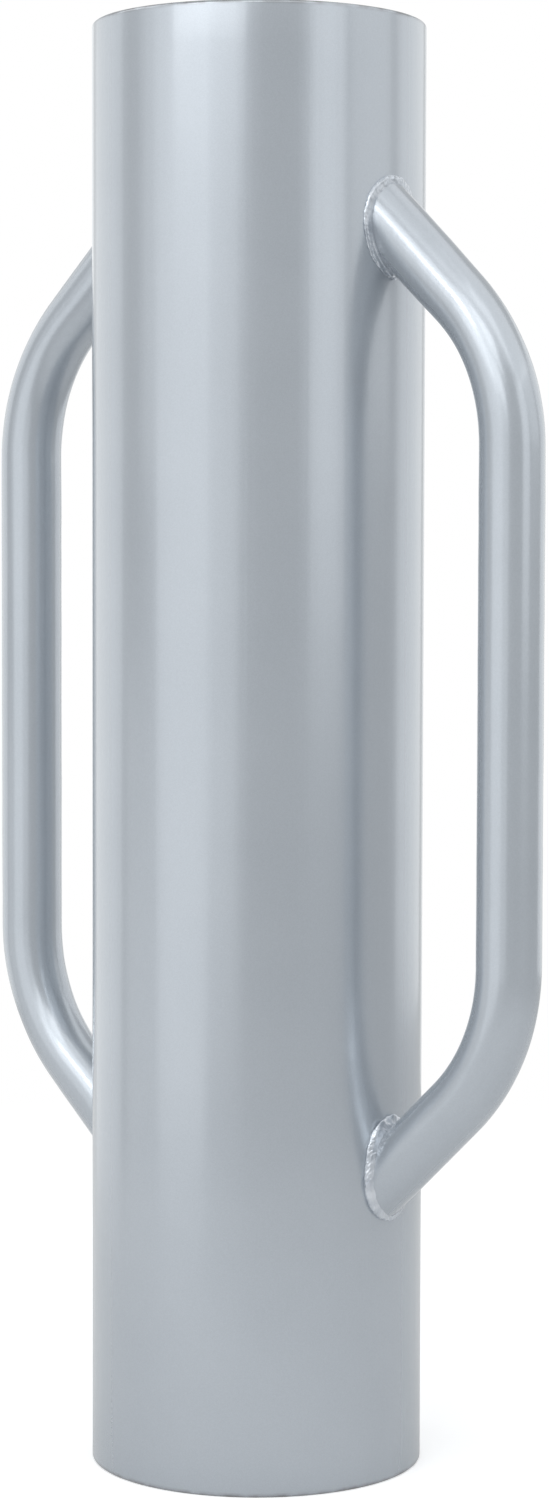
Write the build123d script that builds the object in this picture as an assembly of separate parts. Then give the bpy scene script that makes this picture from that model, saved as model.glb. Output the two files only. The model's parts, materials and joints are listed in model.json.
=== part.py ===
"""Manual post driver: a heavy steel tube with two bent grips, closed at the top by an anvil and a cap plate.

The tool stands on its open mouth. +Z runs up the barrel's axis from the centre of the mouth, and the two
grips lie in the XZ plane, the right one on +X. It is a weldment, so nothing moves: every piece is a
separate solid that meets its neighbours face to face, and each weld bead is a solid of its own.
"""

from build123d import *
import os
from math import cos, isclose, radians, sin, tan

os.makedirs("parts", exist_ok=True)

# --- Driving dimensions, in millimetres and degrees -------------------------------------------------

# Barrel: a length of standard 139.7 x 4 steel tube, open end down
BARREL_OD = 139.7
BARREL_WALL = 4.0
BARREL_LENGTH = 604.0
RIM_ROUND = 1.5            # outer edge at the top, where the weld was dressed
MOUTH_ROUND = 1.0          # outer edge at the open end
MOUTH_LEAD_IN = 1.0        # inner chamfer that guides the post in

# Anvil block and cap plate, seated in a shallow counterbore at the barrel's top
SOCKET_DEPTH = 568.0       # mouth to the anvil's striking face
COUNTERBORE_STEP = 0.75    # the shoulder that locates the anvil
SEAT_CLEARANCE = 0.2       # radial gap round the anvil and the cap plate
ANVIL_THICKNESS = 25.0
CAP_THICKNESS = 8.0
ANVIL_BEVEL = 6.0          # weld preparation on each disc's upper edge
CAP_BEVEL = 5.0
CAP_WELD_RISE = 2.0        # how far the closing bead climbs the barrel's wall
CAP_WELD_CROWN = 0.6       # height of the bead's convex face

# Grips: 3/4 in steel tube, bent twice and coped to the barrel
GRIP_OD = 26.7
GRIP_WALL = 2.3
GRIP_OFFSET = 128.8        # barrel axis to the grip's centreline
GRIP_BEND_RADIUS = 82.0    # on the centreline
GRIP_UPPER_CORNER = 462.0  # where the straight stretches would meet, above the mouth
GRIP_LOWER_CORNER = 183.4
LEG_ANGLE = 43.3           # each leg's slope from the horizontal

# Fillet welds that hold the grips
WELD_LEG = 4.0

# --- Worked out from the above ----------------------------------------------------------------------

BARREL_RADIUS = BARREL_OD / 2
BORE_RADIUS = BARREL_RADIUS - BARREL_WALL
SEAT_RADIUS = BORE_RADIUS + COUNTERBORE_STEP
DISC_RADIUS = SEAT_RADIUS - SEAT_CLEARANCE
ANVIL_TOP = SOCKET_DEPTH + ANVIL_THICKNESS
CAP_TOP = ANVIL_TOP + CAP_THICKNESS
GRIP_RADIUS = GRIP_OD / 2
GRIP_REACH = GRIP_OFFSET - BARREL_RADIUS
LEG_RISE = tan(radians(LEG_ANGLE))
JOINT_HEIGHTS = {
    "upper": GRIP_UPPER_CORNER + GRIP_REACH * LEG_RISE,
    "lower": GRIP_LOWER_CORNER - GRIP_REACH * LEG_RISE,
}
HIDDEN_LEG = 30.0          # how far a leg is drawn on inside the barrel before it is coped
EDGE_TOLERANCE = 0.01      # for finding an edge by its height


# --- Barrel and closed end --------------------------------------------------------------------------


def revolved(*outline):
    """A closed outline of (radius, height) points, turned once round the barrel's axis."""
    face = make_face(Plane.XZ * Polyline(*outline, close=True))
    return revolve(face, Axis.Z)


def outer_edge(tube, height):
    """The circular edge on the tube's outer surface at the given height."""
    return [
        edge
        for edge in tube.edges().filter_by(GeomType.CIRCLE)
        if isclose(edge.radius, BARREL_RADIUS) and isclose(edge.center().Z, height, abs_tol=EDGE_TOLERANCE)
    ]


def barrel_tube():
    """The tube, with its counterbore, dressed rim and eased mouth."""
    tube = revolved(
        (BORE_RADIUS + MOUTH_LEAD_IN, 0),
        (BARREL_RADIUS, 0),
        (BARREL_RADIUS, BARREL_LENGTH),
        (SEAT_RADIUS, BARREL_LENGTH),
        (SEAT_RADIUS, SOCKET_DEPTH),
        (BORE_RADIUS, SOCKET_DEPTH),
        (BORE_RADIUS, MOUTH_LEAD_IN),
    )
    tube = fillet(outer_edge(tube, BARREL_LENGTH), RIM_ROUND)
    return fillet(outer_edge(tube, 0), MOUTH_ROUND)


def bevelled_disc(bottom, top, bevel):
    """A disc that fits the counterbore, its upper edge bevelled for welding."""
    return revolved(
        (0, bottom),
        (DISC_RADIUS, bottom),
        (DISC_RADIUS, top - bevel),
        (DISC_RADIUS - bevel, top),
        (0, top),
    )


def anvil_weld():
    """The bead that fills the groove round the anvil, dressed flush so that the cap plate sits flat."""
    return revolved(
        (DISC_RADIUS - ANVIL_BEVEL, ANVIL_TOP),
        (DISC_RADIUS, ANVIL_TOP - ANVIL_BEVEL),
        (SEAT_RADIUS, ANVIL_TOP - ANVIL_BEVEL),
        (SEAT_RADIUS, ANVIL_TOP),
    )


def cap_weld():
    """The closing bead: it fills the groove round the cap plate and climbs a little way up the wall."""
    groove_edge = (DISC_RADIUS - CAP_BEVEL, CAP_TOP)
    wall_edge = (SEAT_RADIUS, CAP_TOP + CAP_WELD_RISE)
    sides = Polyline(
        groove_edge,
        (DISC_RADIUS, CAP_TOP - CAP_BEVEL),
        (SEAT_RADIUS, CAP_TOP - CAP_BEVEL),
        wall_edge,
    )
    middle = (
        (groove_edge[0] + wall_edge[0]) / 2,
        (groove_edge[1] + wall_edge[1]) / 2 + CAP_WELD_CROWN,
    )
    crown = ThreePointArc(wall_edge, middle, groove_edge)
    return revolve(make_face(Plane.XZ * (sides + crown)), Axis.Z)


# --- Grips ------------------------------------------------------------------------------------------


def barrel_core():
    """The space inside the barrel's outer surface, which every grip and bead is cut back to."""
    return Cylinder(BARREL_RADIUS, BARREL_LENGTH, align=(Align.CENTER, Align.CENTER, Align.MIN))


def grip_path(side):
    """The grip's centreline in the XZ plane: down a leg, along the grip and back up the other leg."""
    inner_x = BARREL_RADIUS - HIDDEN_LEG
    overrun = (GRIP_OFFSET - inner_x) * LEG_RISE
    return FilletPolyline(
        (side * inner_x, 0, GRIP_UPPER_CORNER + overrun),
        (side * GRIP_OFFSET, 0, GRIP_UPPER_CORNER),
        (side * GRIP_OFFSET, 0, GRIP_LOWER_CORNER),
        (side * inner_x, 0, GRIP_LOWER_CORNER - overrun),
        radius=GRIP_BEND_RADIUS,
    )


def swept_round(path, radius):
    """A round bar of the given radius along a path."""
    return sweep(Plane(origin=path @ 0, z_dir=path % 0) * Circle(radius), path=path)


def grip_tube(side):
    """One bent tube, coped at both ends to sit on the barrel. Side is 1 for right and -1 for left."""
    path = grip_path(side)
    return swept_round(path, GRIP_RADIUS) - swept_round(path, GRIP_RADIUS - GRIP_WALL) - barrel_core()


def leg_core(side, end):
    """The solid space of one straight leg, from inside the barrel to where its bend begins."""
    slope = 1 if end == "upper" else -1
    inward = Vector(-side * cos(radians(LEG_ANGLE)), 0, slope * sin(radians(LEG_ANGLE)))
    foot = Vector(side * BARREL_RADIUS, 0, JOINT_HEIGHTS[end])
    start = foot + inward * HIDDEN_LEG
    length = HIDDEN_LEG + GRIP_REACH / cos(radians(LEG_ANGLE)) / 2
    return Plane(origin=start, z_dir=-inward) * Cylinder(
        GRIP_RADIUS, length, align=(Align.CENTER, Align.CENTER, Align.MIN)
    )


def grip_weld(side, end):
    """The fillet bead all round one leg's foot: the corner between leg and barrel, filled at 45 degrees."""
    barrel, leg = barrel_core(), leg_core(side, end)
    joined = barrel + leg
    seam = [edge for edge in joined.edges() if edge.geom_type not in (GeomType.CIRCLE, GeomType.LINE)]
    return chamfer(seam, WELD_LEG) - barrel - leg


# --- Write one file for each piece ------------------------------------------------------------------

PIECES = {
    "barrel_tube": barrel_tube(),
    "anvil_block": bevelled_disc(SOCKET_DEPTH, ANVIL_TOP, ANVIL_BEVEL),
    "anvil_weld": anvil_weld(),
    "cap_plate": bevelled_disc(ANVIL_TOP, CAP_TOP, CAP_BEVEL),
    "cap_weld": cap_weld(),
}
for side_name, side in (("right", 1), ("left", -1)):
    PIECES[f"{side_name}_grip"] = grip_tube(side)
    for end in JOINT_HEIGHTS:
        PIECES[f"{side_name}_grip_{end}_weld"] = grip_weld(side, end)

for node, solid in PIECES.items():
    solid.label = node
    export_step(solid, f"parts/{node}.step")
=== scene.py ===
"""Looks of the post driver: silver-painted barrel and bent grips, uneven welds, studio light and camera.

All lengths are metres in the part's own frame: +Z up the barrel's axis from the centre of its open mouth,
+X towards the right grip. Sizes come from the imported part's record and node boxes.
"""

import json
from math import atan2, cos, exp, pi, radians, sin, sqrt, tan

import bmesh
import bpy
from mathutils import Matrix, Vector, noise


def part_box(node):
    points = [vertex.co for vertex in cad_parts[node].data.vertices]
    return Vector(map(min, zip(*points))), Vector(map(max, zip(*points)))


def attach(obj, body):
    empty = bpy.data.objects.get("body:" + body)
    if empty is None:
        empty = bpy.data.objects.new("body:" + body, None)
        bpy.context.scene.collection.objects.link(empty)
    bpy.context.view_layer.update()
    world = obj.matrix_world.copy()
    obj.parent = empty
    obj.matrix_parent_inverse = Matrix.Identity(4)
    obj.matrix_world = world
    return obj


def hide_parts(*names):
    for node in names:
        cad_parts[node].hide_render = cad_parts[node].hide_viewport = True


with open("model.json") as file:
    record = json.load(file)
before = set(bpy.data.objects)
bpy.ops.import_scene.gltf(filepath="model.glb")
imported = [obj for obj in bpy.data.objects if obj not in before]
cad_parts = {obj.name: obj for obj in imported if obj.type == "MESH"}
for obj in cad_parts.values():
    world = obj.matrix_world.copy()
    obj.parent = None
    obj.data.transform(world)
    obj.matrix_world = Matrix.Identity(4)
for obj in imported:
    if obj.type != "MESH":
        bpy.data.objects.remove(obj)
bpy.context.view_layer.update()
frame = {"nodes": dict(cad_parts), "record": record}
MM = 0.001

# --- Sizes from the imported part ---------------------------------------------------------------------

MOUNTS = {mount["name"]: mount for mount in frame["record"]["mounts"]}
BARREL_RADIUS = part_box("barrel_tube")[1].x
BARREL_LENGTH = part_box("barrel_tube")[1].z
BORE_RADIUS = MOUNTS["post_socket"]["dims"]["r_mm"] * MM
SOCKET_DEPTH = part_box("anvil_block")[0].z
SEAT_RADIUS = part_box("cap_weld")[1].x
DISC_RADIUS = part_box("cap_plate")[1].x
CAP_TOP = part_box("cap_plate")[1].z
CAP_WELD_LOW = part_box("cap_weld")[0].z
GRIP_RADIUS = MOUNTS["right_hold"]["dims"]["r_mm"] * MM
GRIP_OFFSET = MOUNTS["right_hold"]["pos_m"][0]
GRIP_MIDDLE = MOUNTS["right_hold"]["pos_m"][2]
GRIP_STRAIGHT = MOUNTS["right_hold"]["dims"]["length_mm"] * MM

# Shape details that the record doesn't hold, repeated from the part
BEND_RADIUS = 82 * MM
LEG_ANGLE = radians(43.3)
RIM_ROUND = 1.5 * MM
MOUTH_ROUND = 1.0 * MM
MOUTH_LEAD_IN = 1.0 * MM
CAP_WELD_RISE = 2.0 * MM

# The grip's upper half, as a leg, a bend and half the straight stretch
BEND_TURN = pi / 2 - LEG_ANGLE
BEND_SETBACK = BEND_RADIUS * tan(BEND_TURN / 2)
LEG_LENGTH = (GRIP_OFFSET - BARREL_RADIUS) / cos(LEG_ANGLE) - BEND_SETBACK
BEND_LENGTH = BEND_RADIUS * BEND_TURN
HALF_LENGTH = LEG_LENGTH + BEND_LENGTH + GRIP_STRAIGHT / 2
BEND_CENTRE = Vector((GRIP_OFFSET - BEND_RADIUS, 0, GRIP_MIDDLE + GRIP_STRAIGHT / 2))
JOINT_HEIGHT = BEND_CENTRE.z + BEND_SETBACK + (GRIP_OFFSET - BARREL_RADIUS) * tan(LEG_ANGLE)


# --- Mesh helpers -----------------------------------------------------------------------------------

SHARP_ANGLE = radians(32)      # faces that meet at more than this keep a crisp edge
BARREL_SEGMENTS = 288
CRESCENT_SKEW = 0.6            # how much steeper a weld's crescents are on their leading side


def bell(x, width):
    """A smooth hump: 1 at zero, falling to almost nothing at twice the width."""
    return exp(-((x / width) ** 2))


def ripple(x):
    """A weld's scale pattern: one crescent per unit, steeper on its leading side, from -1 to 1."""
    return sin(2 * pi * x + CRESCENT_SKEW * sin(2 * pi * x))


def skin(name, rings, material, closed=False):
    """An object whose mesh runs over equal rings of points. Closed joins the last ring to the first."""
    mesh = bmesh.new()
    rows = [[mesh.verts.new(point) for point in ring] for ring in rings]
    for near, far in zip(rows, rows[1:] + (rows[:1] if closed else [])):
        for i in range(len(near)):
            mesh.faces.new((near[i - 1], near[i], far[i], far[i - 1]))
    if not closed:
        mesh.faces.new(rows[0])
        mesh.faces.new(rows[-1])
    bmesh.ops.recalc_face_normals(mesh, faces=mesh.faces)
    for face in mesh.faces:
        face.smooth = True
    data = bpy.data.meshes.new(name)
    mesh.to_mesh(data)
    mesh.free()
    data.set_sharp_from_angle(angle=SHARP_ANGLE)
    data.materials.append(material)
    piece = bpy.data.objects.new(name, data)
    bpy.context.scene.collection.objects.link(piece)
    return piece


def turned(outline):
    """Rings of points for a closed outline of (radius, height), turned about the barrel's axis."""
    spokes = [2 * pi * i / BARREL_SEGMENTS for i in range(BARREL_SEGMENTS)]
    return [[Vector((r * cos(a), r * sin(a), z)) for a in spokes] for r, z in outline]


def corner_arc(centre, radius, start, end, steps=6):
    """(radius, height) points on a rounded corner of a turned outline; angles in degrees from outward."""
    turns = [radians(start + (end - start) * i / steps) for i in range(steps + 1)]
    return [(centre[0] + radius * cos(t), centre[1] + radius * sin(t)) for t in turns]


def mirrored_down(ring):
    """The same ring on the grip's lower half."""
    return [Vector((p.x, p.y, 2 * GRIP_MIDDLE - p.z)) for p in ring]


def mounted(piece, *nodes, slot="silver_paint"):
    """The piece rides on the one body and stands for these CAD nodes. The slot is not used."""
    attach(piece, "root")
    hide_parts(*nodes)
    return piece


# --- Materials --------------------------------------------------------------------------------------


class Nodes:
    """Builds a node material. Each call adds a node, sets its inputs and links those given as sockets."""

    def __init__(self, name):
        self.material = bpy.data.materials.new(name)
        self.material.use_nodes = True
        self.tree = self.material.node_tree
        self.tree.nodes.clear()

    def add(self, kind, inputs=None, **settings):
        """One node of this kind, with these settings and inputs."""
        node = self.tree.nodes.new(kind)
        for key, value in settings.items():
            setattr(node, key, value)
        for key, value in (inputs or {}).items():
            if isinstance(value, bpy.types.NodeSocket):
                self.tree.links.new(value, node.inputs[key])
            else:
                node.inputs[key].default_value = value
        return node

    def ramp(self, value, low, high, out_low=0.0, out_high=1.0):
        """The value moved from one range to another, clamped."""
        inputs = {"Value": value, "From Min": low, "From Max": high, "To Min": out_low, "To Max": out_high}
        return self.add("ShaderNodeMapRange", inputs).outputs["Result"]

    def mix(self, factor, first, second):
        """The second colour over the first by the factor."""
        node = self.add("ShaderNodeMix", data_type="RGBA")
        for key, value in (("Factor_Float", factor), ("A_Color", first), ("B_Color", second)):
            socket = next(s for s in node.inputs if s.identifier == key)
            if isinstance(value, bpy.types.NodeSocket):
                self.tree.links.new(value, socket)
            else:
                socket.default_value = value
        return next(s for s in node.outputs if s.identifier == "Result_Color")

    def math(self, operation, *values):
        """One arithmetic step on values or sockets."""
        return self.add("ShaderNodeMath", dict(enumerate(values)), operation=operation).outputs[0]

    def noise(self, where, size, detail=2.0, roughness=0.5):
        """Smooth noise whose features are about the given size."""
        inputs = {"Vector": where, "Scale": 1 / size, "Detail": detail, "Roughness": roughness}
        return self.add("ShaderNodeTexNoise", inputs).outputs["Fac"]

    def speckle(self, where, size):
        """A value from 0 to 1 that jumps at random between cells of about the given size."""
        cells = self.add("ShaderNodeTexVoronoi", {"Vector": where, "Scale": 1 / size}, feature="F1")
        return self.add("ShaderNodeSeparateColor", {"Color": cells.outputs["Color"]}).outputs["Red"]

    def bump(self, height, distance, normal=None):
        """Relief of the given depth in metres."""
        inputs = {"Height": height, "Distance": distance}
        if normal is not None:
            inputs["Normal"] = normal
        return self.add("ShaderNodeBump", inputs).outputs["Normal"]

    def finish(self, **surface):
        """Ends in one Principled shader with these inputs, spaces written as underscores."""
        inputs = {key.replace("_", " "): value for key, value in surface.items()}
        shader = self.add("ShaderNodeBsdfPrincipled", inputs)
        self.add("ShaderNodeOutputMaterial", {"Surface": shader.outputs["BSDF"]})
        return self.material

    def place(self):
        """Where the point is in the part's frame, in metres."""
        return self.add("ShaderNodeTexCoord").outputs["Object"]


# Paint: two shades on the tubes, two on the welds, the flake in it and the metal where it has worn off.
# The welds' lighter shade is painted highlight, far lighter than the tubes' paint, in patches about a bead
# wide
PAINT_LIGHT = (0.505, 0.543, 0.582, 1)
PAINT_DARK = (0.480, 0.518, 0.557, 1)
PAINTED_HIGHLIGHT_ON_WELDS = (0.73, 0.76, 0.80, 1)
WELD_DARK = (0.47, 0.51, 0.56, 1)
FLAKE_COLOUR = (0.66, 0.70, 0.76, 1)
WORN_COLOUR = (0.27, 0.27, 0.28, 1)
CLOUD_SIZE_ON_TUBE = 55 * MM
HIGHLIGHT_PATCH_SIZE_ON_WELDS = 7 * MM
FLAKE_SIZE = 0.35 * MM
FLAKE_STRENGTH = 0.22

# Wear at the barrel's two edges, in patches: full up to the first distance from the edge, gone at the second
WEAR_FULL = 0.5 * MM
WEAR_GONE = 2.0 * MM
WEAR_PATCH_SIZE = 7 * MM

# The paint's roughness and relief. The drawn lines are noise stretched far down the tube
ROUGHNESS_ON_TUBE = 0.22
ROUGHNESS_ON_WELDS = 0.21
ROUGHNESS_SPREAD = 0.05
ROUGHNESS_PATCH_SIZE = 30 * MM
DRAWN_SCALE = (1, 1, 0.012)
DRAWN_SIZE = 9 * MM
DRAWN_DEPTH = 0.12 * MM
PEEL_SIZE = 2.2 * MM
PEEL_DEPTH = 0.012 * MM
GRAIN_SIZE = 0.9 * MM
GRAIN_ON_TUBE = 0.002 * MM
GRAIN_ON_WELDS = 0.05 * MM

# Bare steel inside: mill scale over brighter metal, rust and pits
SCALE_COLOUR = (0.20, 0.19, 0.185, 1)
STEEL_COLOUR = (0.46, 0.45, 0.43, 1)
RUST_COLOUR = (0.24, 0.13, 0.07, 1)
SCALE_SIZE = 9 * MM
RUST_SIZE = 17 * MM
PIT_SIZE = 1.6 * MM
PIT_DEPTH = 0.15 * MM


def silver_paint(name, light, dark, tone_and_highlight_patch_size, roughness, grain_depth):
    """Gloss silver-grey paint with flake, clouds, orange peel and grain, worn at the barrel's edges. On the
    welds the clouds' lighter shade is a painted highlight.
    """
    nodes = Nodes(name)
    where = nodes.place()
    # Clouds of the lighter shade: random tone on the tubes, painted highlights on the welds
    tone_and_highlight_patches = nodes.ramp(nodes.noise(where, tone_and_highlight_patch_size, detail=2.0), low=0.3, high=0.7)
    colour = nodes.mix(tone_and_highlight_patches, dark, light)
    sparkle = nodes.math("MULTIPLY", nodes.speckle(where, FLAKE_SIZE), FLAKE_STRENGTH)
    colour = nodes.mix(sparkle, colour, FLAKE_COLOUR)
    height = nodes.add("ShaderNodeSeparateXYZ", {"Vector": where}).outputs["Z"]
    from_edge = nodes.math("MINIMUM", height, nodes.math("SUBTRACT", BARREL_LENGTH, height))
    patches = nodes.ramp(nodes.noise(where, WEAR_PATCH_SIZE, detail=4.0), low=0.3, high=0.6)
    near_edge = nodes.ramp(from_edge, WEAR_FULL, WEAR_GONE, out_low=1.0, out_high=0.0)
    colour = nodes.mix(nodes.math("MULTIPLY", near_edge, patches), colour, WORN_COLOUR)
    drawn = nodes.add("ShaderNodeMapping", {"Vector": where, "Scale": DRAWN_SCALE}).outputs["Vector"]
    relief = nodes.bump(nodes.noise(drawn, DRAWN_SIZE, detail=3.0), DRAWN_DEPTH)
    relief = nodes.bump(nodes.noise(where, PEEL_SIZE, detail=1.0), PEEL_DEPTH, relief)
    relief = nodes.bump(nodes.noise(where, GRAIN_SIZE, detail=2.0), grain_depth, relief)
    rough_patches = nodes.noise(where, ROUGHNESS_PATCH_SIZE, detail=2.0)
    return nodes.finish(
        Base_Color=colour,
        Metallic=0.65,
        Roughness=nodes.ramp(rough_patches, 0.0, 1.0, roughness, roughness + ROUGHNESS_SPREAD),
        Coat_Weight=0.9,
        Coat_Roughness=0.11,
        Normal=relief,
    )


def bare_steel():
    """Dark mill-finish steel with brighter metal showing through, some rust and fine pits."""
    nodes = Nodes("bare_steel")
    where = nodes.place()
    bright = nodes.ramp(nodes.noise(where, SCALE_SIZE, detail=6.0, roughness=0.6), low=0.4, high=0.62)
    colour = nodes.mix(bright, SCALE_COLOUR, STEEL_COLOUR)
    rust_noise = nodes.noise(where, RUST_SIZE, detail=5.0, roughness=0.65)
    rust = nodes.ramp(rust_noise, low=0.58, high=0.72, out_low=0.0, out_high=0.5)
    colour = nodes.mix(rust, colour, RUST_COLOUR)
    return nodes.finish(
        Base_Color=colour,
        Metallic=0.9,
        Roughness=nodes.ramp(bright, 0.0, 1.0, out_low=0.55, out_high=0.36),
        Normal=nodes.bump(nodes.noise(where, PIT_SIZE, detail=4.0), PIT_DEPTH),
    )


SILVER_PAINT = silver_paint(
    "silver_paint_on_tube", PAINT_LIGHT, PAINT_DARK, CLOUD_SIZE_ON_TUBE, ROUGHNESS_ON_TUBE, GRAIN_ON_TUBE
)
# The welds' paint: its lighter shade, far lighter than the tubes' paint, is painted highlight in patches
# about a bead wide
WELD_PAINT_WITH_HIGHLIGHTS = silver_paint(
    "silver_paint_with_painted_highlights_on_welds", PAINTED_HIGHLIGHT_ON_WELDS, WELD_DARK, HIGHLIGHT_PATCH_SIZE_ON_WELDS, ROUGHNESS_ON_WELDS, GRAIN_ON_WELDS
)
BARE_STEEL = bare_steel()


# --- Barrel -----------------------------------------------------------------------------------------

WALL_ROWS = 40
RIM_STEPS = 10


def barrel():
    """The tube: rounded edges at both ends, plain bore, shoulder and seat for the anvil."""
    rim_centre = (BARREL_RADIUS - RIM_ROUND, BARREL_LENGTH - RIM_ROUND)
    mouth_centre = (BARREL_RADIUS - MOUTH_ROUND, MOUTH_ROUND)
    wall_low, wall_high = MOUTH_ROUND, BARREL_LENGTH - RIM_ROUND
    wall_step = (wall_high - wall_low) / WALL_ROWS
    outline = [(BORE_RADIUS + MOUTH_LEAD_IN, 0)]
    outline += corner_arc(mouth_centre, MOUTH_ROUND, -90, 0)
    outline += [(BARREL_RADIUS, wall_low + wall_step * i) for i in range(1, WALL_ROWS)]
    outline += corner_arc(rim_centre, RIM_ROUND, 0, 90, RIM_STEPS)
    outline += [(SEAT_RADIUS, BARREL_LENGTH), (SEAT_RADIUS, SOCKET_DEPTH)]
    outline += [(BORE_RADIUS, SOCKET_DEPTH), (BORE_RADIUS, MOUTH_LEAD_IN)]
    return skin("barrel", turned(outline), SILVER_PAINT, closed=True)


# --- Grips ------------------------------------------------------------------------------------------

GRIP_SEGMENTS = 72
GRIP_ROW_STEP = 2.5 * MM
COPE_ROWS = 8                  # rows that turn the coped end into a square-cut section
COPE_END = 17 * MM             # distance down the leg where they end
COPE_EMBED = 0.6 * MM          # how far the coped end goes into the barrel's wall
UNEVENNESS = 0.06 * MM         # how far the tube's surface strays from true
UNEVEN_SIZE = 14 * MM          # and how long its waves are
SKIN_RADIUS = GRIP_RADIUS - UNEVENNESS

# How much each bend is flattened at most, as a share of the tube's radius. The flattening peaks a little way
# into the bend and falls off over a reach. It also flattens the outer side, within an angle in radians, and
# makes the flanks bulge, each by a share of the flattening
BEND_FLATTENING = {
    ("right", "upper"): 0.062,
    ("right", "lower"): 0.012,
    ("left", "upper"): 0.062,
    ("left", "lower"): 0.08,
}
FLATTENING_PEAK = LEG_LENGTH + 0.3 * BEND_LENGTH
FLATTENING_REACH = 30 * MM
FLAT_SIDE_SHARE = 0.5
FLAT_SIDE_ANGLE = 0.5
BULGE_SHARE = 0.25


def grip_station(s):
    """Centre and outward direction of a grip's upper half, s metres down its centreline from the barrel."""
    if s < LEG_LENGTH:
        along = Vector((cos(LEG_ANGLE), 0, -sin(LEG_ANGLE)))
        outward = Vector((sin(LEG_ANGLE), 0, cos(LEG_ANGLE)))
        return Vector((BARREL_RADIUS, 0, JOINT_HEIGHT)) + along * s, outward
    if s < LEG_LENGTH + BEND_LENGTH:
        turn = LEG_ANGLE + (s - LEG_LENGTH) / BEND_RADIUS
        outward = Vector((sin(turn), 0, cos(turn)))
        return BEND_CENTRE + outward * BEND_RADIUS, outward
    down = s - LEG_LENGTH - BEND_LENGTH
    return Vector((GRIP_OFFSET, 0, BEND_CENTRE.z - down)), Vector((1, 0, 0))


def cope(angle):
    """How far down a leg's centreline its surface meets the barrel, at this angle round the leg."""
    reach = sqrt(BARREL_RADIUS**2 - (GRIP_RADIUS * sin(angle)) ** 2) - BARREL_RADIUS
    return (reach - GRIP_RADIUS * sin(LEG_ANGLE) * cos(angle)) / cos(LEG_ANGLE)


def leg_point(angle, s):
    """A point on the upper leg's round surface, angle 0 on its outer side and pi in the crotch."""
    centre, outward = grip_station(s)
    return centre + outward * (GRIP_RADIUS * cos(angle)) + Vector((0, GRIP_RADIUS * sin(angle), 0))


def grip_section(angle, s, flattening):
    """A point on the grip's skin, with the tube flattened in the bend."""
    centre, outward = grip_station(s)
    squeeze = flattening * bell(s - FLATTENING_PEAK, FLATTENING_REACH)
    depth = SKIN_RADIUS * (1 - squeeze) * cos(angle)
    on_outer_side = bell(angle, FLAT_SIDE_ANGLE) + bell(angle - 2 * pi, FLAT_SIDE_ANGLE)
    depth -= SKIN_RADIUS * FLAT_SIDE_SHARE * squeeze * on_outer_side
    width = SKIN_RADIUS * (1 + BULGE_SHARE * squeeze) * sin(angle)
    return centre + outward * depth + Vector((0, width, 0))


def half_grip(angles, flattening):
    """Rings of points down the right grip's upper half, from the barrel to the middle of its straight."""
    starts = [cope(a) - COPE_EMBED for a in angles]
    rings = []
    for i in range(COPE_ROWS):
        stations = [start + (COPE_END - start) * i / COPE_ROWS for start in starts]
        rings.append([grip_section(a, s, flattening) for a, s in zip(angles, stations)])
    rows = round((HALF_LENGTH - COPE_END) / GRIP_ROW_STEP)
    for i in range(rows + 1):
        s = COPE_END + (HALF_LENGTH - COPE_END) * i / rows
        rings.append([grip_section(a, s, flattening) for a in angles])
    return rings


def grip(name, side_name, side):
    """One bent tube, its ends cut to the barrel's curve. Side is 1 for right and -1 for left."""
    angles = [2 * pi * i / GRIP_SEGMENTS for i in range(GRIP_SEGMENTS)]
    upper = half_grip(angles, BEND_FLATTENING[side_name, "upper"])
    lower = half_grip(angles, BEND_FLATTENING[side_name, "lower"])[:-1]
    rings = upper + [mirrored_down(ring) for ring in reversed(lower)]
    for ring in rings:
        for point in ring:
            point.x *= side
            point += Vector((1, 1, 1)) * UNEVENNESS * noise.noise(point / UNEVEN_SIZE)
    return skin(name, rings, SILVER_PAINT)


# --- Welds ------------------------------------------------------------------------------------------

BEAD_STATIONS = 320            # cross-sections round a leg
BEAD_ACROSS = 22               # steps across one cross-section
BEAD_ROOT = 0.6 * MM           # how far a cross-section closes behind the corner of leg and barrel
TOE_EMBED = 0.05 * MM          # how far its two edges go under the surfaces
ANGLE_STEP = 0.01              # for finding which way the seam runs, in radians

# The crown: its height as a share of the bead's width, how much that varies, and its lean (1 is upright, less
# leans towards the barrel)
CROWN_HEIGHT = 0.27
CROWN_SPREAD = 0.08
BEAD_LEAN = 0.6

# Crescents, and the fine lumpiness over them
RIPPLE_PITCH = 1.7 * MM
RIPPLE_HEIGHT = 0.12 * MM
RIPPLE_BOW = 0.7               # how far a crescent bows forward in the middle, in pitches
RIPPLE_DRIFT = 1.4             # how far the spacing wanders, in pitches
ROUGH_HEIGHT = 0.34 * MM

# How fast each kind of unevenness changes on the way round the leg, which is a circle of radius 1 in the
# noise, and how fast the lumpiness changes across
SLOW_EDGE, FAST_EDGE = 2.2, 7
SLOW_EDGE_SHARE, FAST_EDGE_SHARE = 0.14, 0.10
DRIFT, STRENGTH, SWELL, ROUGH = 2, 3, 3.7, 17
ROUGH_ACROSS = 3
OTHER_EDGE = Vector((9, 0, 0))  # moves the noise, so that the bead's two edges differ


def unrolled(point):
    """A point on the barrel's surface as (distance round, height)."""
    return Vector((BARREL_RADIUS * atan2(point.y, point.x), point.z))


def rolled(flat, lift=0.0):
    """The reverse, lifted off the surface by the given amount."""
    around = flat.x / BARREL_RADIUS
    radius = BARREL_RADIUS + lift
    return Vector((radius * cos(around), radius * sin(around), flat.y))


def toe_width(widths, angle):
    """One side's width at this angle, from its widths at the leg's outer side, flanks and crotch."""
    outer, flank, crotch = widths
    end = outer if cos(angle) > 0 else crotch
    return MM * (end * cos(angle) ** 2 + flank * sin(angle) ** 2)


def wander(around, shift):
    """A factor near 1 for one edge's distance from the seam, uneven round the leg."""
    slow = noise.noise(around * SLOW_EDGE + shift)
    fast = noise.noise(around * FAST_EDGE + shift)
    return 1 + SLOW_EDGE_SHARE * slow + FAST_EDGE_SHARE * fast


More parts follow.
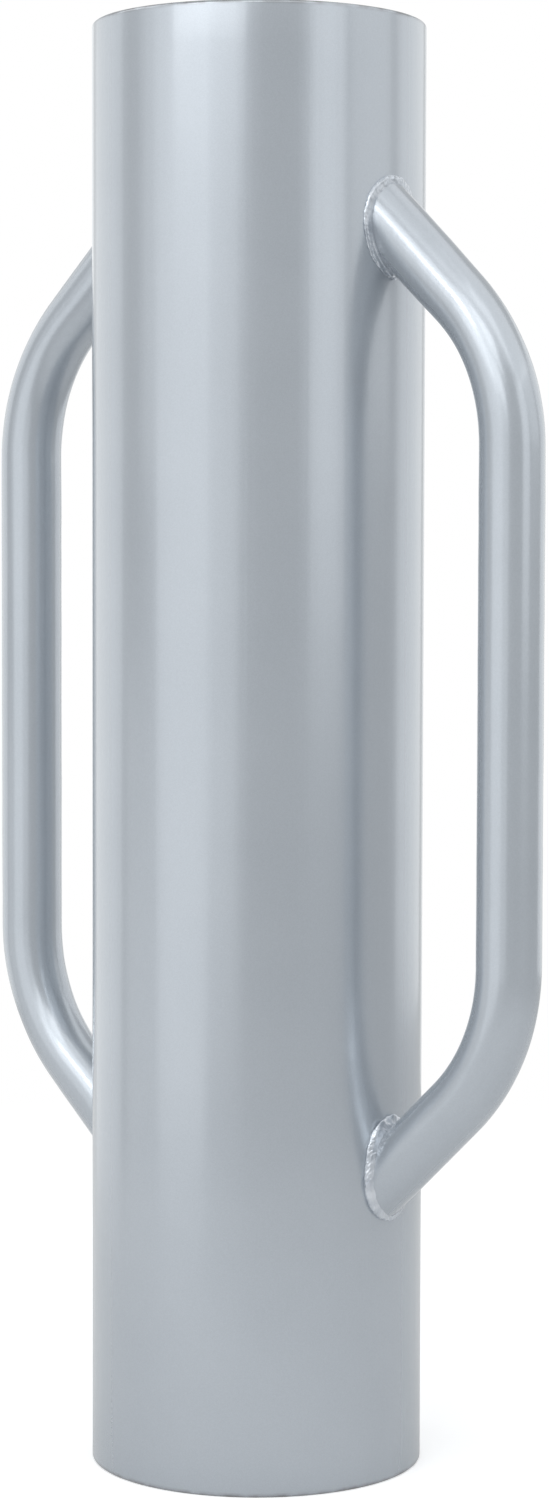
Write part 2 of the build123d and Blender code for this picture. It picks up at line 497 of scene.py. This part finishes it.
def bead_toes(angle, root, around, bead):
    """The edges of a bead's cross-section: one on the barrel, square to the seam, and one down the leg."""
    ahead = unrolled(leg_point(angle + ANGLE_STEP, cope(angle + ANGLE_STEP)))
    behind = unrolled(leg_point(angle - ANGLE_STEP, cope(angle - ANGLE_STEP)))
    seam = (ahead - behind).normalized()
    barrel_reach = toe_width(bead["barrel"], angle) * wander(around, Vector())
    barrel_toe = rolled(unrolled(root) + Vector((-seam.y, seam.x)) * barrel_reach, -TOE_EMBED)
    leg_reach = cope(angle) + toe_width(bead["leg"], angle) * wander(around, OTHER_EDGE)
    leg_toe = leg_point(angle, leg_reach)
    leg_toe += (grip_station(leg_reach)[0] - leg_toe).normalized() * TOE_EMBED
    return barrel_toe, leg_toe


def bead_height(t, angle, seam_length, around, chord, bead):
    """How far the bead stands off the straight line between its edges, t of the way across."""
    fullness = t**BEAD_LEAN
    crown = 4 * fullness * (1 - fullness)
    fade = crown**0.5
    height = chord * (CROWN_HEIGHT + CROWN_SPREAD * noise.noise(around * SWELL)) * crown
    phase = seam_length / RIPPLE_PITCH - RIPPLE_BOW * crown + RIPPLE_DRIFT * noise.noise(around * DRIFT)
    strength = 0.5 + 0.5 * noise.noise(around * STRENGTH)
    height += RIPPLE_HEIGHT * strength * ripple(phase) * fade
    height += ROUGH_HEIGHT * noise.noise(Vector((t * ROUGH_ACROSS, 0, 0)) + around * ROUGH) * fade
    for at, across, length, width, rise in bead["lumps"]:
        apart = (angle - radians(at) + pi) % (2 * pi) - pi
        height += rise * MM * bell(apart, radians(length)) * bell(t - across, width) * fade
    return height


def bead_profile(angle, root, seam_length, bead):
    """One cross-section of a grip's weld, from the barrel's side to the leg's, closed under the surface."""
    around = Vector((cos(angle), sin(angle), bead["seed"]))
    barrel_toe, leg_toe = bead_toes(angle, root, around, bead)
    outward = ((barrel_toe - root).normalized() + (leg_toe - root).normalized()).normalized()
    chord = (leg_toe - barrel_toe).length
    points = []
    for i in range(BEAD_ACROSS + 1):
        t = i / BEAD_ACROSS
        height = bead_height(t, angle, seam_length, around, chord, bead)
        points.append(barrel_toe.lerp(leg_toe, t) + outward * height)
    return points + [root - outward * BEAD_ROOT]


def grip_weld(name, side, end, bead):
    """The bead round one end of a grip."""
    rings = []
    seam_length = 0.0
    previous = None
    for i in range(BEAD_STATIONS):
        angle = 2 * pi * i / BEAD_STATIONS - pi
        root = leg_point(angle, cope(angle))
        seam_length += (root - previous).length if previous else 0.0
        previous = root
        ring = bead_profile(angle, root, seam_length, bead)
        if end == "lower":
            ring = mirrored_down(ring)
        rings.append([Vector((p.x * side, p.y, p.z)) for p in ring])
    return skin(name, rings, WELD_PAINT_WITH_HIGHLIGHTS, closed=True)


CAP_STATIONS = 1440            # cross-sections round the rim
CAP_ACROSS = 10                # steps across one cross-section
CAP_CRESCENTS = 210
CAP_CROWN = 0.55 * MM
CAP_RIPPLE = 0.14 * MM
CAP_BOW = 0.6                  # how far a crescent bows and how far the spacing wanders, in pitches
CAP_INNER_WIDTH = 5.2 * MM     # from the cap plate's edge inwards to the bead's inner edge
CAP_INNER_WANDER = 0.5 * MM
CAP_OUTER_DROP = 0.3 * MM      # from the height the CAD bead climbs to, down to this bead's outer edge
CAP_OUTER_WANDER = 0.4 * MM


def cap_weld():
    """The closing bead inside the rim, laid in one run of fine crescents."""
    rings = []
    for i in range(CAP_STATIONS):
        around = 2 * pi * i / CAP_STATIONS
        place = Vector((cos(around), sin(around), 3)) * 3
        slow = noise.noise(place)
        fast = noise.noise(place * 2)
        inner_radius = DISC_RADIUS - CAP_INNER_WIDTH + CAP_INNER_WANDER * slow
        inner_height = CAP_TOP - TOE_EMBED
        outer_radius = SEAT_RADIUS + TOE_EMBED
        outer_height = CAP_TOP + CAP_WELD_RISE - CAP_OUTER_DROP + CAP_OUTER_WANDER * fast
        outline = []
        for j in range(CAP_ACROSS + 1):
            t = j / CAP_ACROSS
            crown = 4 * t * (1 - t)
            phase = CAP_CRESCENTS * i / CAP_STATIONS - CAP_BOW * crown + CAP_BOW * fast
            lift = (CAP_CROWN + CAP_RIPPLE * ripple(phase)) * crown**0.7
            radius = inner_radius + (outer_radius - inner_radius) * t
            outline.append((radius, inner_height + (outer_height - inner_height) * t + lift))
        outline.append((outer_radius, CAP_WELD_LOW))
        rings.append([Vector((r * cos(around), r * sin(around), z)) for r, z in outline])
    return skin("cap_weld_bead", rings, WELD_PAINT_WITH_HIGHLIGHTS, closed=True)


# Each grip weld: its widths in millimetres on the barrel and on the leg, each at the leg's outer side, at its
# flanks and in its crotch. Then its lumps and folds, as (angle round the leg, place across, length round the
# leg, width across, rise): angles and lengths in degrees, places and widths as shares of the way across, and
# rises in millimetres
GRIP_WELDS = {
    ("right", "upper"): {
        "seed": 1.3,
        "barrel": (1.6, 3.9, 3.2),
        "leg": (2.6, 0.9, 1.9),
        "lumps": [
            (-118, 0.30, 26, 0.08, -0.7),
            (-122, 0.52, 24, 0.07, 0.5),
            (-128, 0.72, 24, 0.07, -0.6),
            (-150, 0.35, 7, 0.14, 0.9),
            (-160, 0.22, 6, 0.12, 1.1),
            (-165, 0.50, 4, 0.12, -0.9),
            (-171, 0.62, 6, 0.14, 1.2),
            (-178, 0.25, 5, 0.14, 1.1),
            (170, 0.45, 6, 0.16, 1.0),
            (-70, 0.30, 30, 0.12, 0.4),
            (-30, 0.35, 10, 0.16, 0.5),
            (-8, 0.60, 9, 0.16, 0.5),
        ],
    },
    ("right", "lower"): {
        "seed": 3.9,
        "barrel": (0.3, 1.8, 6.2),
        "leg": (2.8, 4.6, 3.2),
        "lumps": [
            (178, 0.35, 7, 0.18, 1.3),
            (-160, 0.30, 8, 0.20, 1.5),
            (-169, 0.35, 4, 0.25, -0.8),
            (-146, 0.50, 6, 0.16, 1.0),
            (-95, 0.62, 40, 0.10, 0.35),
            (-20, 0.45, 14, 0.20, 0.2),
            (12, 0.45, 14, 0.20, 0.2),
        ],
    },
    ("left", "upper"): {
        "seed": 5.3,
        "barrel": (2.0, 3.4, 3.2),
        "leg": (2.6, 2.2, 2.2),
        "lumps": [(170, 0.5, 12, 0.3, 0.8), (120, 0.4, 30, 0.08, -0.3)],
    },
    ("left", "lower"): {
        "seed": 7.9,
        "barrel": (1.4, 2.4, 4.5),
        "leg": (3.2, 3.2, 3.0),
        "lumps": [(-172, 0.5, 12, 0.3, 0.9), (-100, 0.6, 40, 0.1, 0.3)],
    },
}


def make_model():
    """Every visible piece, in place of its CAD node or over it."""
    mounted(barrel(), "barrel_tube")
    mounted(cap_weld(), "cap_weld")
    for side_name, side in (("right", 1), ("left", -1)):
        mounted(grip(f"{side_name}_grip_tube", side_name, side), f"{side_name}_grip")
        for end in ("upper", "lower"):
            node = f"{side_name}_grip_{end}_weld"
            mounted(grip_weld(node + "_bead", side, end, GRIP_WELDS[side_name, end]), node)
    kept = {"cap_plate": SILVER_PAINT, "anvil_block": BARE_STEEL, "anvil_weld": BARE_STEEL}
    for node, material in kept.items():
        frame["nodes"][node].data.materials.clear()
        frame["nodes"][node].data.materials.append(material)


# --- Studio -----------------------------------------------------------------------------------------

# The camera's place and aim: azimuth turns it from the front (-Y) towards the right grip (+X)
CAMERA_AZIMUTH = radians(38.5)
CAMERA_DISTANCE = 1.4231
CAMERA_HEIGHT = 0.3821
CAMERA_TILT = radians(3.256)
CAMERA_YAW = radians(0.285)
CAMERA_ROLL = radians(0.145)
CAMERA_LENS = 80.91
CAMERA_SENSOR = 36
CAMERA_FAR = 50

# The softboxes all face one point from one distance. The surround is white to the camera and dimmer to the
# object
LIGHT_AIM = Vector((0, 0, 0.32))
LIGHT_DISTANCE = 2.2
LIGHT_COLOUR = (0.975, 0.99, 1.0)
SURROUND_COLOUR = (0.965, 0.985, 1.0, 1)
SURROUND_STRENGTH = 0.56
BACKDROP_COLOUR = (1, 1, 1, 1)

# The floor: how much the camera sees it lifted towards white, and the radii where it starts to thin and ends
FLOOR_COLOUR = (0.76, 0.76, 0.76, 1)
FLOOR_LIFT = 0.44
FLOOR_SOLID = 0.5
FLOOR_EDGE = 0.95
FLOOR_SEGMENTS = 96


def camera():
    """A long lens a little above mid-height, looking slightly down."""
    data = bpy.data.cameras.new("camera")
    data.lens = CAMERA_LENS
    data.sensor_width = CAMERA_SENSOR
    data.clip_end = CAMERA_FAR
    view = bpy.data.objects.new("camera", data)
    around = Matrix.Rotation(CAMERA_AZIMUTH, 4, "Z")
    away = Matrix.Translation((0, -CAMERA_DISTANCE, CAMERA_HEIGHT))
    aim = Matrix.Rotation(-CAMERA_YAW, 4, "Z") @ Matrix.Rotation(pi / 2 - CAMERA_TILT, 4, "X")
    view.matrix_world = around @ away @ aim @ Matrix.Rotation(CAMERA_ROLL, 4, "Z")
    bpy.context.scene.collection.objects.link(view)
    bpy.context.scene.camera = view


def softbox(name, azimuth, elevation, width, height, radiance):
    """A soft light facing the object. Azimuth is degrees round from the camera, positive to the right."""
    data = bpy.data.lights.new(name, "AREA")
    data.shape = "RECTANGLE"
    data.size, data.size_y = width, height
    data.energy = pi * width * height * radiance
    data.color = LIGHT_COLOUR
    around = CAMERA_AZIMUTH + radians(azimuth)
    up = radians(elevation)
    away = Vector((sin(around) * cos(up), -cos(around) * cos(up), sin(up)))
    light = bpy.data.objects.new(name, data)
    light.location = LIGHT_AIM + away * LIGHT_DISTANCE
    light.rotation_euler = away.to_track_quat("Z", "Y").to_euler()
    light.visible_camera = False
    bpy.context.scene.collection.objects.link(light)


# Softboxes round the object: name, azimuth from the camera, elevation, width, height and radiance. Angles are
# in degrees, and a softbox of radiance 1 looks as bright as a white surround of strength 1
SOFTBOXES = [
    ("key", -41, 34, 0.45, 0.24, 5.0),
    ("key_glow", -28, 40, 2.2, 0.8, 1.2),
    ("upper_left", -34, 22, 2.0, 0.5, 0.95),
    ("upper_front", 15, 52, 2.0, 1.2, 0.5),
    ("top_front", -20, 74, 1.8, 1.2, 0.4),
    ("top_right", 80, 52, 2.6, 1.8, 0.5),
    ("side_left_high", -98, 42, 1.6, 1.2, 0.9),
    ("left", -54, 5, 1.55, 1.6, 0.56),
    ("left_outer", -80, 18, 0.5, 1.1, 0.3),
    ("left_inner", -24, 9, 0.95, 1.6, 0.35),
    ("right", 47, 15, 1.0, 1.2, 0.6),
    ("right_fill", 83, 19, 1.4, 1.1, 0.38),
    ("left_low", -88, -12, 1.0, 0.8, 0.25),
    ("back_left", -128, 4, 1.7, 1.7, 0.4),
    ("far_left", -158, -2, 0.9, 1.6, 0.15),
    ("back_right", 131, 8, 1.8, 1.5, 0.42),
    ("rear", 180, 8, 1.6, 1.7, 0.35),
]


def studio():
    """Plain soft light from large softboxes, over a pale floor that runs out into a white surround."""
    for settings in SOFTBOXES:
        softbox(*settings)
    world = bpy.data.worlds.new("studio")
    bpy.context.scene.world = world
    world.use_nodes = True
    tree = world.node_tree
    light = tree.nodes["Background"]
    light.inputs["Color"].default_value = SURROUND_COLOUR
    light.inputs["Strength"].default_value = SURROUND_STRENGTH
    backdrop = tree.nodes.new("ShaderNodeBackground")
    backdrop.inputs["Color"].default_value = BACKDROP_COLOUR
    chosen = tree.nodes.new("ShaderNodeMixShader")
    seen = tree.nodes.new("ShaderNodeLightPath")
    tree.links.new(seen.outputs["Is Camera Ray"], chosen.inputs[0])
    tree.links.new(light.outputs[0], chosen.inputs[1])
    tree.links.new(backdrop.outputs[0], chosen.inputs[2])
    tree.links.new(chosen.outputs[0], tree.nodes["World Output"].inputs["Surface"])


def floor():
    """A pale disc that thins out into the surround, clear from beneath and inside the barrel's mouth."""
    mesh = bmesh.new()
    bmesh.ops.create_circle(mesh, cap_ends=True, radius=FLOOR_EDGE, segments=FLOOR_SEGMENTS)
    data = bpy.data.meshes.new("floor")
    mesh.to_mesh(data)
    mesh.free()
    nodes = Nodes("pale_floor")
    length = nodes.add("ShaderNodeVectorMath", {"Vector": nodes.place()}, operation="LENGTH")
    distance = length.outputs["Value"]
    paper = nodes.add("ShaderNodeBsdfDiffuse", {"Color": FLOOR_COLOUR})
    seen = nodes.add("ShaderNodeLightPath").outputs["Is Camera Ray"]
    lift = nodes.add("ShaderNodeEmission", {"Strength": nodes.math("MULTIPLY", seen, FLOOR_LIFT)})
    paper = nodes.add("ShaderNodeAddShader", {0: paper.outputs[0], 1: lift.outputs[0]})
    clear = nodes.add("ShaderNodeBsdfTransparent")
    beneath = nodes.add("ShaderNodeNewGeometry").outputs["Backfacing"]
    in_mouth = nodes.math("LESS_THAN", distance, BARREL_RADIUS - MOUTH_ROUND)
    fade = nodes.math("MAXIMUM", nodes.ramp(distance, FLOOR_SOLID, FLOOR_EDGE), beneath)
    fade = nodes.math("MAXIMUM", fade, in_mouth)
    blend = nodes.add("ShaderNodeMixShader", {0: fade, 1: paper.outputs[0], 2: clear.outputs[0]})
    nodes.add("ShaderNodeOutputMaterial", {"Surface": blend.outputs[0]})
    data.materials.append(nodes.material)
    disc = bpy.data.objects.new("floor", data)
    bpy.context.scene.collection.objects.link(disc)


make_model()
camera()
studio()
floor()
bpy.context.scene.view_settings.view_transform = "Standard"
